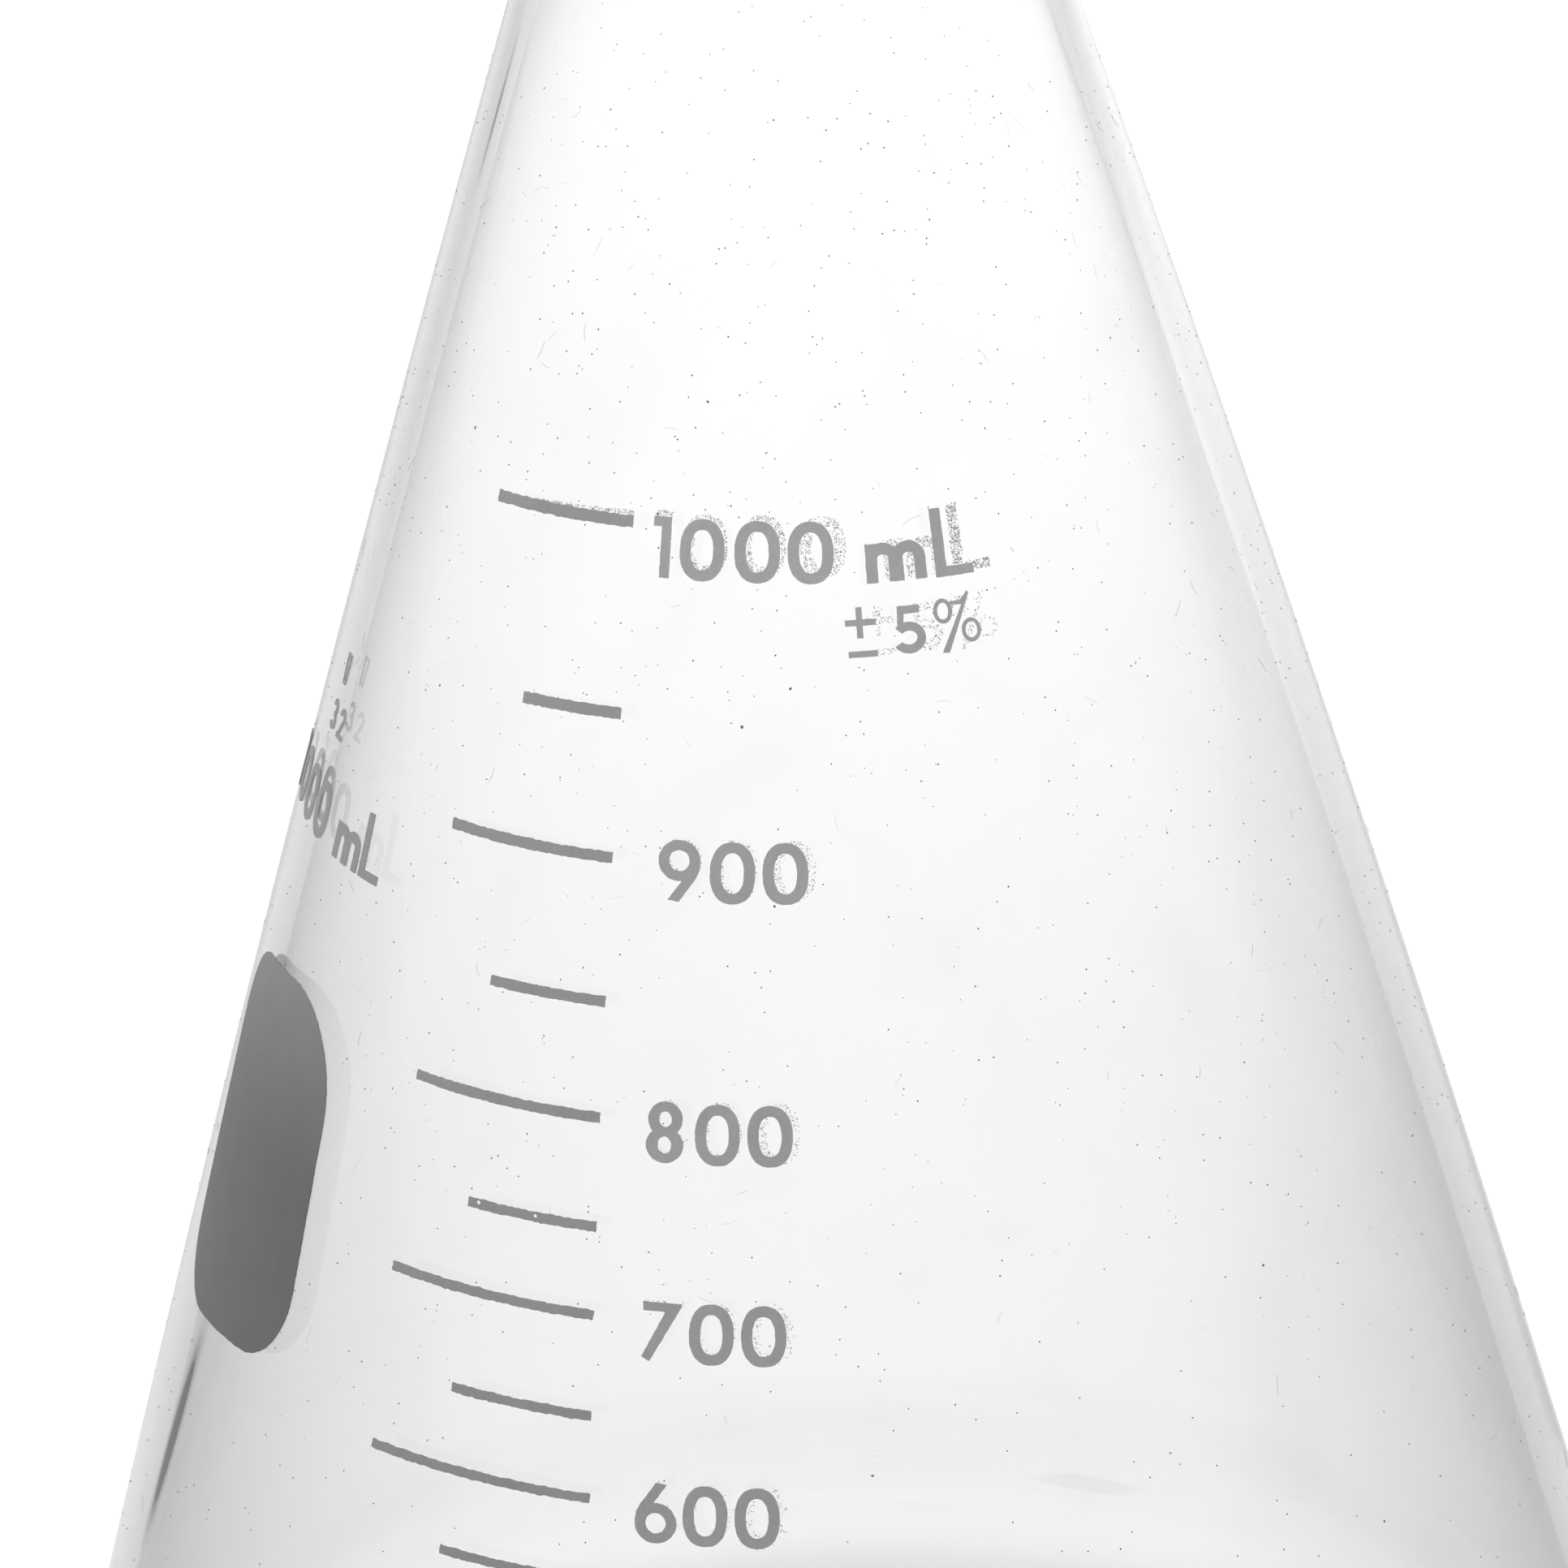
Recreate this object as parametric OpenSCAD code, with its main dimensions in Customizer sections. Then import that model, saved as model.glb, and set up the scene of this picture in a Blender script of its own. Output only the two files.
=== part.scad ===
// Conical flask of borosilicate glass for 1000 mL, with a ground taper neck and a
// hexagonal-headed glass stopper.  Millimetres, +Z up.  The origin is the centre of
// the ring that the flask stands on.  The printed scale is on the front, towards -Y.
// An angle round the flask is counted from the front, positive towards +X.

/* [Body] */
// Diameter of the flank at cone_low_z
cone_low_d = 130.6; // [110:0.2:150]
// Height at which cone_low_d is measured
cone_low_z = 16; // [12:0.5:20]
// Diameter of the flank at cone_high_z
cone_high_d = 37.9; // [36:0.1:50]
// Height at which cone_high_d is measured
cone_high_z = 170; // [140:1:190]
// How far the flank stands out from a straight cone, half way up
flank_bulge = 1; // [0:0.1:2.5]
// Outer radius of the heel, from the base to the flank
heel_r = 12.5; // [8:0.5:16]
// Thickness of the glass, square to its surface
wall = 2.2; // [1.6:0.1:3.2]
// Height of the pushed-up middle of the base
kick_up = 1.8; // [0.8:0.1:4]
// Width of the flat ring that the flask stands on
rest_w = 4.7; // [2:0.1:8]

/* [Neck] */
// Radius of the sweep from the flank into the neck
sweep_r = 45; // [20:1:60]
// Length of the neck above the sweep, to the mouth
neck_len = 37.5; // [36:0.5:60]
// Diameter of the ground socket at its wide end
joint_d = 32; // [28:0.5:36]
// Length of the ground socket
joint_len = 28; // [22:1:30]
// Change in the joint's diameter per millimetre of length
joint_taper = 0.1; // [0.06:0.01:0.14]
// Thickness of the glass round the wide end of the socket
joint_wall = 2.6; // [2:0.1:4]
// Radius by which the bore is relieved below the socket
bore_relief = 0.4; // [0.2:0.1:1]
// Radius of the fire-polished edge inside the lip
lip_r = 2; // [1:0.25:2.5]
// How far the bead at the mouth stands out from the neck
bead_out = 2.6; // [1.5:0.1:4]
// Radius of the bead's upper, outer edge
bead_r = 2.8; // [1.5:0.1:4]
// Height of the sweep under the bead
bead_foot_h = 4.2; // [4:0.1:8]

/* [Stopper] */
// Gap between the two ground faces, on the radius
ground_gap = 0.04; // [0.01:0.01:0.1]
// How far the ground plug reaches below the socket
plug_below = 2; // [0.5:0.5:5]
// How far the ground plug stands above the socket
plug_above = 5; // [3:0.5:8]
// Radius of the plug's lower edge
plug_edge_r = 1; // [0.5:0.1:1.5]
// Thickness of the glass round the hollow in the plug
plug_wall = 3; // [2:0.1:4]
// Length of the straight part of the hollow in the plug
hollow_len = 20; // [10:1:24]
// Height of the waist between the plug and the head
waist_h = 5; // [4:0.5:10]
// Depth of the waist
waist_in = 1.6; // [0.8:0.1:2]
// Width of the hexagonal head across its flats
head_af = 38; // [34:0.5:46]
// Thickness of the head
head_h = 10; // [8:0.5:16]
// Radius of the head's upper and lower edges
head_edge_r = 3; // [1.5:0.25:3.5]
// How far the head's corners are cut back
head_corner_cut = 1.2; // [0.6:0.1:2]

/* [Printed scale] */
// Height of the 1000 mL line
top_line_z = 131.7; // [120:0.1:135]
// Volume of the scale's ideal cone above the 1000 mL line, in mL
tip_ml = 146.5; // [130:0.5:160]
// Change in radius per millimetre of height in the scale's ideal cone
scale_slope = 0.269; // [0.26:0.001:0.29]
// How much lower the half-hundred lines sit than their volume asks
half_drop = 0.55; // [0:0.05:0.8]
// Width of the 1000 mL line, up the flank
line_w = 0.87; // [0.7:0.01:1.5]
// Loss in a line's width per millimetre down the scale
line_thinning = 0.0026; // [0:0.0001:0.004]
// Arc of the 1000 mL line, in degrees
top_arc = 22.5; // [15:0.1:30]
// Arc of the other lines on the hundreds, in degrees
long_arc = 21.5; // [15:0.1:30]
// Arc of the lines on the half-hundreds, in degrees
short_arc = 13.5; // [8:0.1:18]
// Angle of the inner end of the 1000 mL line
top_line_angle = -24.1; // [-30:0.1:-15]
// Turn of the inner ends towards the front, per millimetre down the scale
scale_turn = 0.049; // [0:0.001:0.06]
// How far the column of inner ends bows outwards, in degrees
scale_bow = 0.55; // [0:0.05:1]
// Thickness of the fired enamel
film_t = 0.08; // [0.05:0.01:0.3]
// Gap between the enamel and the glass
film_gap = 0.02; // [0.01:0.005:0.05]

/* [Marking spot] */
// Angle of the middle of the marking spot
spot_angle = -69.5; // [-90:0.1:-62]
// Height of the middle of the marking spot
spot_z = 77.2; // [58:0.1:98]
// Width of the marking spot
spot_w = 21.6; // [18:0.1:26]
// Height of the marking spot
spot_h = 27.9; // [20:0.1:34]
// Radius of three of the marking spot's corners
spot_corner_r = 6; // [3:0.1:8]
// Radius of its upper corner on the side of the scale
spot_top_corner_r = 9; // [3:0.1:9]
// Lean of the marking spot
spot_tilt = 5.2; // [-5:0.1:8]

/* [Hidden] */
TOP_ML = 1000;
STEP_ML = 50;
LOW_ML = 300;
// Lines that the print has a little above (+) or below (-) their place: [mL, mm]
LINE_SHIFTS = [
    [900, 0.15], [800, -0.35], [750, 0.1], [700, 0.3], [650, 0.15], [600, -0.2], [550, 0.15]
];
LINES_ML = [for (ml = [TOP_ML:-STEP_ML:LOW_ML]) ml];

$fn = 96;
ARC_STEPS = 12;
FLANK_STEPS = 16;
// Clear space past a face where one solid is cut by another
CUT = 1;
GLASS = [0.80, 0.89, 0.88, 0.45];
GROUND_GLASS = [0.90, 0.93, 0.92, 0.70];
ENAMEL = [0.56, 0.56, 0.56];

// Points along an arc about a centre, from one angle to another
function arc(centre, radius, from, to) = [
    for (i = [0:ARC_STEPS])
        let (a = from + (to - from) * i / ARC_STEPS)
        centre + radius * [cos(a), sin(a)]
];

// ---- The flank: a cone with a slight outward bulge ----

function flank_t(z) = (z - cone_low_z) / (cone_high_z - cone_low_z);

// Outer radius of the flank at height z
function flank_r(z) =
    let (t = flank_t(z))
    (cone_low_d + (cone_high_d - cone_low_d) * t) / 2 + 4 * flank_bulge * t * (1 - t);

// Lean of the flank from the vertical at height z, in degrees
function flank_lean(z) =
    atan(((cone_low_d - cone_high_d) / 2 - 4 * flank_bulge * (1 - 2 * flank_t(z)))
         / (cone_high_z - cone_low_z));

// Height at which the flank has a given outer radius
function flank_z(r) =
    let (
        fall = (cone_low_d - cone_high_d) / 2 - 4 * flank_bulge,
        in = cone_low_d / 2 - r,
        t = 2 * in / (fall + sqrt(fall * fall + 16 * flank_bulge * in))
    )
    cone_low_z + t * (cone_high_z - cone_low_z);

// ---- Heel and base ----

heel_lean = flank_lean(cone_low_z);
heel_top_z = heel_r * (1 + sin(heel_lean));
heel_centre = [flank_r(heel_top_z) - heel_r * cos(heel_lean), heel_r];
kick_edge_r = heel_centre.x - rest_w;
kick_sphere_r = (kick_edge_r * kick_edge_r + kick_up * kick_up) / (2 * kick_up);
kick_centre = [0, kick_up - kick_sphere_r];
kick_half_angle = asin(kick_edge_r / kick_sphere_r);

// ---- Neck, ground joint and mouth ----

socket_low_r = (joint_d - joint_taper * joint_len) / 2;
neck_bore_r = socket_low_r + bore_relief;
neck_r = neck_bore_r + wall;
sweep_lean = flank_lean(cone_high_z);
sweep_low_z = flank_z(neck_r + sweep_r * (1 - cos(sweep_lean)));
sweep_centre = [neck_r + sweep_r, sweep_low_z + sweep_r * sin(sweep_lean)];
mouth_z = sweep_centre.y + neck_len;
socket_top_z = mouth_z - lip_r;
socket_low_z = socket_top_z - joint_len;
neck_top_r = joint_d / 2 + joint_wall;
bead_low_z = mouth_z - bead_r - bead_foot_h;
bead_outer_r = neck_top_r + bead_out;
// The sweep under the bead is two equal arcs, one hollow and one round
foot_arc_r = (bead_foot_h * bead_foot_h + bead_out * bead_out) / (4 * bead_out);
foot_arc_angle = asin(bead_foot_h / (2 * foot_arc_r));

// Radius of the ground taper at height z
function socket_r(z) = (joint_d + joint_taper * (z - socket_top_z)) / 2;

// ---- Stopper ----

function plug_r(z) = socket_r(z) - ground_gap;

plug_low_z = socket_low_z - plug_below;
plug_top_z = socket_top_z + plug_above;
hollow_top_z = plug_low_z + hollow_len;
hollow_top_r = plug_r(hollow_top_z) - plug_wall;
waist_arc_r = (waist_h * waist_h / 4 + waist_in * waist_in) / (2 * waist_in);
waist_half_angle = asin(waist_h / (2 * waist_arc_r));
waist_centre = [
    plug_r(plug_top_z) - waist_in + waist_arc_r,
    plug_top_z + waist_h / 2
];
head_low_z = plug_top_z + waist_h;
head_top_z = head_low_z + head_h;
head_corner_r = head_af / 2 / cos(30) - head_corner_cut;

// ---- Printed scale ----

// Height of the tip of the scale's ideal cone that holds a given volume
function tip_h(ml) = pow(3 * ml * 1000 / (PI * scale_slope * scale_slope), 1 / 3);

function is_long(ml) = ml % (2 * STEP_ML) == 0;

// How far a line is printed above its place
function line_shift(ml) =
    let (found = [for (shift = LINE_SHIFTS) if (shift[0] == ml) shift[1]])
    len(found) == 0 ? 0 : found[0];

// Height of the middle of a line
function line_z(ml) =
    top_line_z + tip_h(tip_ml) - tip_h(tip_ml + TOP_ML - ml)
    - (is_long(ml) ? 0 : half_drop) + line_shift(ml);

// Angle of the inner end of the line at height z
function line_angle(z) =
    let (down = top_line_z - z, all = top_line_z - line_z(LOW_ML))
    top_line_angle + scale_turn * down - 4 * scale_bow * down * (all - down) / (all * all);

// Section of a film on the flank between two heights
module film_section(low_z, high_z, steps) {
    heights = [for (i = [0:steps]) low_z + (high_z - low_z) * i / steps];
    polygon(concat(
        [for (z = heights) [flank_r(z) + film_gap + film_t, z]],
        [for (i = [steps:-1:0]) [flank_r(heights[i]) + film_gap, heights[i]]]
    ));
}

// ---- Pieces ----

module flask_section() {
    outside = concat(
        arc(kick_centre, kick_sphere_r, 90, 90 - kick_half_angle),
        arc(heel_centre, heel_r, -90, heel_lean),
        [for (i = [1:FLANK_STEPS - 1])
            let (z = heel_top_z + (sweep_low_z - heel_top_z) * i / FLANK_STEPS)
            [flank_r(z), z]],
        arc(sweep_centre, sweep_r, 180 + sweep_lean, 180),
        [[neck_r, socket_low_z]],
        arc([neck_top_r - foot_arc_r, bead_low_z] + [2 * foot_arc_r, 0],
            foot_arc_r, 180, 180 - foot_arc_angle),
        arc([bead_outer_r - foot_arc_r, bead_low_z + bead_foot_h],
            foot_arc_r, -foot_arc_angle, 0),
        arc([bead_outer_r - bead_r, mouth_z - bead_r], bead_r, 0, 90)
    );
    inside = concat(
        arc([joint_d / 2 + lip_r, mouth_z - lip_r], lip_r, 90, 180),
        [[socket_low_r, socket_low_z], [neck_bore_r, socket_low_z - bore_relief]],
        arc(sweep_centre, sweep_r + wall, 180, 180 + sweep_lean),
        [for (i = [FLANK_STEPS - 1:-1:1])
            let (
                z = heel_top_z + (sweep_low_z - heel_top_z) * i / FLANK_STEPS,
                lean = flank_lean(z)
            )
            [flank_r(z), z] - wall * [cos(lean), sin(lean)]],
        arc(heel_centre, heel_r - wall, heel_lean, -90),
        arc(kick_centre, kick_sphere_r + wall, 90 - kick_half_angle, 90)
    );
    polygon(concat(outside, inside));
}

module flask_body() {
    color(GLASS) rotate_extrude() flask_section();
}

module stopper_section() {
    polygon(concat(
        [[0, plug_low_z]],
        arc([plug_r(plug_low_z) - plug_edge_r, plug_low_z + plug_edge_r],
            plug_edge_r, -90, 0),
        arc(waist_centre, waist_arc_r, 180 + waist_half_angle, 180 - waist_half_angle),
        [[plug_r(plug_top_z), head_low_z + CUT], [0, head_low_z + CUT]]
    ));
}

module stopper_hollow() {
    rotate_extrude() polygon(concat(
        [[0, plug_low_z - CUT], [plug_r(plug_low_z - CUT) - plug_wall, plug_low_z - CUT]],
        arc([0, hollow_top_z], hollow_top_r, 0, 90)
    ));
}

module stopper_head() {
    intersection() {
        translate([0, 0, head_low_z]) cylinder(h = head_h, d = head_af / cos(30), $fn = 6);
        rotate_extrude() polygon(concat(
            [[0, head_low_z]],
            arc([head_corner_r - head_edge_r, head_low_z + head_edge_r],
                head_edge_r, -90, 0),
            arc([head_corner_r - head_edge_r, head_top_z - head_edge_r],
                head_edge_r, 0, 90),
            [[0, head_top_z]]
        ));
    }
}

module stopper() {
    color(GROUND_GLASS) difference() {
        union() {
            rotate_extrude() stopper_section();
            stopper_head();
        }
        stopper_hollow();
    }
}

module mark(ml) {
    z = line_z(ml);
    half = (line_w - line_thinning * (top_line_z - z)) * cos(flank_lean(z)) / 2;
    arc_deg = ml == TOP_ML ? top_arc : is_long(ml) ? long_arc : short_arc;
    color(ENAMEL)
        rotate([0, 0, line_angle(z) - arc_deg - 90])
        rotate_extrude(angle = arc_deg)
        film_section(z - half, z + half, 1);
}

module rounded_rectangle(w, h, r) {
    square([w - 2 * r, h], center = true);
    square([w, h - 2 * r], center = true);
    for (x = [-1, 1], y = [-1, 1])
        translate([x * (w / 2 - r), y * (h / 2 - r)]) circle(r);
}

// The spot's outline: its upper corner on the side of the scale has a radius of its own
module spot_outline() {
    top_corner = [spot_w / 2, spot_h / 2] - spot_top_corner_r * [1, 1];
    difference() {
        rounded_rectangle(spot_w, spot_h, spot_corner_r);
        translate(top_corner) square(spot_top_corner_r + CUT);
    }
    translate(top_corner) circle(spot_top_corner_r);
}

module marking_spot() {
    reach = norm([spot_w, spot_h]) / 2;
    color(ENAMEL) intersection() {
        rotate([0, 0, spot_angle - 135])
            rotate_extrude(angle = 90)
            film_section(spot_z - reach, spot_z + reach, FLANK_STEPS / 2);
        rotate([0, 0, spot_angle])
            translate([0, 0, spot_z])
            rotate([90, 0, 0])
            linear_extrude(cone_low_d)
            rotate(spot_tilt)
            spot_outline();
    }
}

flask_body();
stopper();
marking_spot();
for (ml = LINES_ML)
    mark(ml);
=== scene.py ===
import math
import random

import bpy
from mathutils import Matrix, Vector, noise
from mathutils.geometry import delaunay_2d_cdt


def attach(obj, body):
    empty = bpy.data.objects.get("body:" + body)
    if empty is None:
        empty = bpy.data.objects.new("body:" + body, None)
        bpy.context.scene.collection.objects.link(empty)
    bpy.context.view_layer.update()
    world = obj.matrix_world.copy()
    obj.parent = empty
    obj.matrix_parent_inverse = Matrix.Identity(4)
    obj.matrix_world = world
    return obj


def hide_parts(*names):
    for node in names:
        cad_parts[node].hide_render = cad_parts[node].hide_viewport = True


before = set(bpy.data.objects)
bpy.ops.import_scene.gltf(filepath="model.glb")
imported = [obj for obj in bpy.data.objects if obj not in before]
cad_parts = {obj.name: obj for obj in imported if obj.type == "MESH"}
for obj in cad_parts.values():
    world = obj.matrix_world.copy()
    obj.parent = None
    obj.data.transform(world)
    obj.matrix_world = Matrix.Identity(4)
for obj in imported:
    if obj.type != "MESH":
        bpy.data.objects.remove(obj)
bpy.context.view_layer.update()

# A conical flask with a ground stopper. Lengths are in millimetres, as in the solids, and are
# turned into metres where vertices are made. An angle round the flask is counted from the
# front (-Y), positive towards +X, in degrees.
MM = 0.001
# All that is random starts from this number. Without it the noise would start from the clock,
# and the worn edges of the print would differ from run to run.
SEED = 6
noise.seed_set(SEED)

# ---- Sizes of the glass, the same as in the solids ----
CONE_LOW_D, CONE_LOW_Z = 130.6, 16.0
CONE_HIGH_D, CONE_HIGH_Z = 37.9, 170.0
FLANK_BULGE = 1.0
HEEL_R = 12.5
WALL = 2.2
KICK_UP = 1.8
REST_W = 4.7
SWEEP_R = 45.0
NECK_LEN = 37.5
JOINT_D, JOINT_LEN, JOINT_TAPER = 32.0, 28.0, 0.1
JOINT_WALL = 2.6
BORE_RELIEF = 0.4
LIP_R = 2.0
BEAD_OUT, BEAD_R, BEAD_FOOT_H = 2.6, 2.8, 4.2
GROUND_GAP = 0.04
PLUG_BELOW, PLUG_ABOVE = 2.0, 5.0
PLUG_EDGE_R = 1.0
PLUG_WALL = 3.0
HOLLOW_LEN = 20.0
WAIST_H, WAIST_IN = 5.0, 1.6
HEAD_AF, HEAD_H = 38.0, 10.0
HEAD_EDGE_R = 3.0
HEAD_CORNER_R = 8.0

# ---- Sizes of the print, the same as in the solids where they are there ----
TOP_ML, STEP_ML, LOW_ML = 1000, 50, 300
TOP_LINE_Z = 131.7
TIP_ML = 146.5
SCALE_SLOPE = 0.269
HALF_DROP = 0.55
LINE_SHIFTS = {900: 0.15, 800: -0.35, 750: 0.1, 700: 0.3, 650: 0.15, 600: -0.2, 550: 0.15}
LINE_W, LINE_THINNING = 0.87, 0.0026
TOP_ARC, LONG_ARC, SHORT_ARC = 22.5, 21.5, 13.5
TOP_LINE_ANGLE = -24.1
SCALE_TURN = 0.049
SCALE_BOW = 0.55
FILM_T = 0.08
FILM_GAP = 0.02
SPOT_ANGLE, SPOT_Z = -69.5, 77.2
SPOT_W, SPOT_H = 21.6, 27.9
SPOT_CORNER_R, SPOT_TOP_CORNER_R = 6.0, 9.0
SPOT_TILT = 5.2


# ---- The flank and the neck, as in the solids ----

def flank_t(z):
    return (z - CONE_LOW_Z) / (CONE_HIGH_Z - CONE_LOW_Z)


def flank_r(z):
    """Outer radius of the flank at height z."""
    t = flank_t(z)
    return (CONE_LOW_D + (CONE_HIGH_D - CONE_LOW_D) * t) / 2 + 4 * FLANK_BULGE * t * (1 - t)


def flank_lean(z):
    """Lean of the flank from the vertical at height z, in radians."""
    fall = (CONE_LOW_D - CONE_HIGH_D) / 2 - 4 * FLANK_BULGE * (1 - 2 * flank_t(z))
    return math.atan(fall / (CONE_HIGH_Z - CONE_LOW_Z))


def flank_z(r):
    """Height at which the flank has a given outer radius."""
    fall = (CONE_LOW_D - CONE_HIGH_D) / 2 - 4 * FLANK_BULGE
    inward = CONE_LOW_D / 2 - r
    t = 2 * inward / (fall + math.sqrt(fall * fall + 16 * FLANK_BULGE * inward))
    return CONE_LOW_Z + t * (CONE_HIGH_Z - CONE_LOW_Z)


heel_lean = flank_lean(CONE_LOW_Z)
heel_top_z = HEEL_R * (1 + math.sin(heel_lean))
heel_centre = (flank_r(heel_top_z) - HEEL_R * math.cos(heel_lean), HEEL_R)
kick_edge_r = heel_centre[0] - REST_W
kick_sphere_r = (kick_edge_r ** 2 + KICK_UP ** 2) / (2 * KICK_UP)
kick_centre = (0.0, KICK_UP - kick_sphere_r)
kick_half_angle = math.asin(kick_edge_r / kick_sphere_r)

socket_low_r = (JOINT_D - JOINT_TAPER * JOINT_LEN) / 2
neck_bore_r = socket_low_r + BORE_RELIEF
neck_r = neck_bore_r + WALL
sweep_lean = flank_lean(CONE_HIGH_Z)
sweep_low_z = flank_z(neck_r + SWEEP_R * (1 - math.cos(sweep_lean)))
sweep_centre = (neck_r + SWEEP_R, sweep_low_z + SWEEP_R * math.sin(sweep_lean))
mouth_z = sweep_centre[1] + NECK_LEN
socket_top_z = mouth_z - LIP_R
socket_low_z = socket_top_z - JOINT_LEN
neck_top_r = JOINT_D / 2 + JOINT_WALL
bead_low_z = mouth_z - BEAD_R - BEAD_FOOT_H
bead_outer_r = neck_top_r + BEAD_OUT
foot_arc_r = (BEAD_FOOT_H ** 2 + BEAD_OUT ** 2) / (4 * BEAD_OUT)
foot_arc_angle = math.asin(BEAD_FOOT_H / (2 * foot_arc_r))


def plug_r(z):
    """Radius of the stopper's ground taper at height z."""
    return (JOINT_D + JOINT_TAPER * (z - socket_top_z)) / 2 - GROUND_GAP


plug_low_z = socket_low_z - PLUG_BELOW
plug_top_z = socket_top_z + PLUG_ABOVE
hollow_top_z = plug_low_z + HOLLOW_LEN
hollow_top_r = plug_r(hollow_top_z) - PLUG_WALL
waist_arc_r = (WAIST_H ** 2 / 4 + WAIST_IN ** 2) / (2 * WAIST_IN)
waist_half_angle = math.asin(WAIST_H / (2 * waist_arc_r))
waist_centre = (plug_r(plug_top_z) - WAIST_IN + waist_arc_r, plug_top_z + WAIST_H / 2)
head_low_z = plug_top_z + WAIST_H
head_top_z = head_low_z + HEAD_H


# ---- The printed scale, as in the solids ----

def tip_h(ml):
    """Height of the tip of the scale's ideal cone that holds a given volume."""
    return (3 * ml * 1000 / (math.pi * SCALE_SLOPE ** 2)) ** (1 / 3)


def is_long(ml):
    return ml % (2 * STEP_ML) == 0


def line_z(ml):
    down = tip_h(TIP_ML + TOP_ML - ml) - tip_h(TIP_ML)
    drop = 0 if is_long(ml) else HALF_DROP
    return TOP_LINE_Z - down - drop + LINE_SHIFTS.get(ml, 0.0)


def line_w(z):
    return LINE_W - LINE_THINNING * (TOP_LINE_Z - z)


def line_angle(z):
    """Angle of the inner end of the line at height z."""
    down, all_down = TOP_LINE_Z - z, TOP_LINE_Z - line_z(LOW_ML)
    bow = 4 * SCALE_BOW * down * (all_down - down) / all_down ** 2
    return TOP_LINE_ANGLE + SCALE_TURN * down - bow


# ---- Materials ----

def new_material(name):
    material = bpy.data.materials.new(name)
    material.use_nodes = True
    nodes, links = material.node_tree.nodes, material.node_tree.links
    nodes.clear()
    output = nodes.new("ShaderNodeOutputMaterial")
    return material, nodes, links, output


def add_math(nodes, links, operation, first, second):
    """A math node. first and second are numbers or sockets, and its output is given back."""
    node = nodes.new("ShaderNodeMath")
    node.operation = operation
    for socket, value in zip(node.inputs, (first, second)):
        if isinstance(value, (int, float)):
            socket.default_value = value
        else:
            links.new(value, socket)
    return node.outputs[0]


def add_ramp(nodes, links, grey_stops, source):
    """A ramp of greys over a number from 0 to 1."""
    ramp = nodes.new("ShaderNodeValToRGB")
    stops = ramp.color_ramp.elements
    for k, (at, grey) in enumerate(grey_stops):
        stop = stops[k] if k < len(stops) else stops.new(at)
        stop.position = at
        stop.color = (grey, grey, grey, 1.0)
    links.new(source, ramp.inputs["Fac"])
    return ramp.outputs["Color"]


def add_range(nodes, links, source, before, after, interpolation="LINEAR"):
    """A number moved from one range to another, and held inside it."""
    node = nodes.new("ShaderNodeMapRange")
    node.interpolation_type = interpolation
    node.inputs["From Min"].default_value, node.inputs["From Max"].default_value = before
    node.inputs["To Min"].default_value, node.inputs["To Max"].default_value = after
    links.new(source, node.inputs["Value"])
    return node.outputs["Result"]


def add_noise(nodes, links, place, scale, detail=2.0):
    """Noise from 0 to 1 over a place. A larger scale makes a finer pattern."""
    node = nodes.new("ShaderNodeTexNoise")
    node.inputs["Scale"].default_value = scale
    node.inputs["Detail"].default_value = detail
    links.new(place, node.inputs["Vector"])
    return node.outputs["Fac"]


def add_place(nodes, links):
    """The place on the object in metres, and its X, Y and Z by name."""
    place = nodes.new("ShaderNodeTexCoord").outputs["Object"]
    split = nodes.new("ShaderNodeSeparateXYZ")
    links.new(place, split.inputs["Vector"])
    return place, split.outputs


# The painted shade, smears and painted reflections below were set by comparing pictures. They
# are looks, and not measured properties of the glass.
IOR = 1.473
# Painted shade where the glass is seen at a slope: its factor, full below one height and none
# above the other, and the share of the turn from square on to edge-on at which it starts.
SLOPE_SHADE, SLOPE_SHADE_LOW_Z, SLOPE_SHADE_HIGH_Z = 1.03, 42.0, 125.0
SLOPE_START = 0.16
# Faint smears: the scale of their pattern, the share of it that shows, and their greatest loss.
SMEAR_SCALE, SMEAR_LOSS = 70.0, 0.03
SMEAR_SHOWN = (0.56, 0.75)
# Painted shade at each share of mirroring, which grows as the glass is seen more edge-on.
OUTER_SHADE = ((0.037, 0.0), (0.055, 0.026), (0.09, 0.085), (0.118, 0.14), (0.163, 0.23),
              (0.20, 0.32), (0.26, 0.30), (0.34, 0.24), (0.5, 0.14), (1.0, 0.05))
INNER_SHADE = ((0.037, 0.0), (0.09, 0.03), (0.163, 0.07), (0.3, 0.13), (0.5, 0.22), (1.0, 0.5))
# Painted shade in the thick heel, at each share of the height HEEL_SHADE_TOP_Z.
HEEL_SHADE_TOP_Z = 20.0
HEEL_SHADE = ((0.0, 0.0), (0.15, 0.0), (0.22, 0.05), (0.3, 0.085), (0.45, 0.095), (0.62, 0.075),
             (0.82, 0.0))
# Two dark streaks near the left edge, which are painted reflections: the low and the high end of
# each as an angle and a height, its width in degrees and how dark it is. What causes them isn't
# known. A soft mask in the outer surface paints them.
REFLECTION_STREAKS = [((-75.2, 41.5), (-71.6, 64.0), 3.6, 0.85), ((-72.2, 150.5), (-70.6, 163.5), 2.4, 0.7)]
# Share of a painted reflection streak that shows, at each share of the turn from square on to
# edge-on.
REFLECTION_STREAK_STOPS = ((0.4, 0.0), (0.62, 1.0))
# How much of a lamp's light comes through one surface of the glass.
LAMP_SHARE = 0.96


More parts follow.
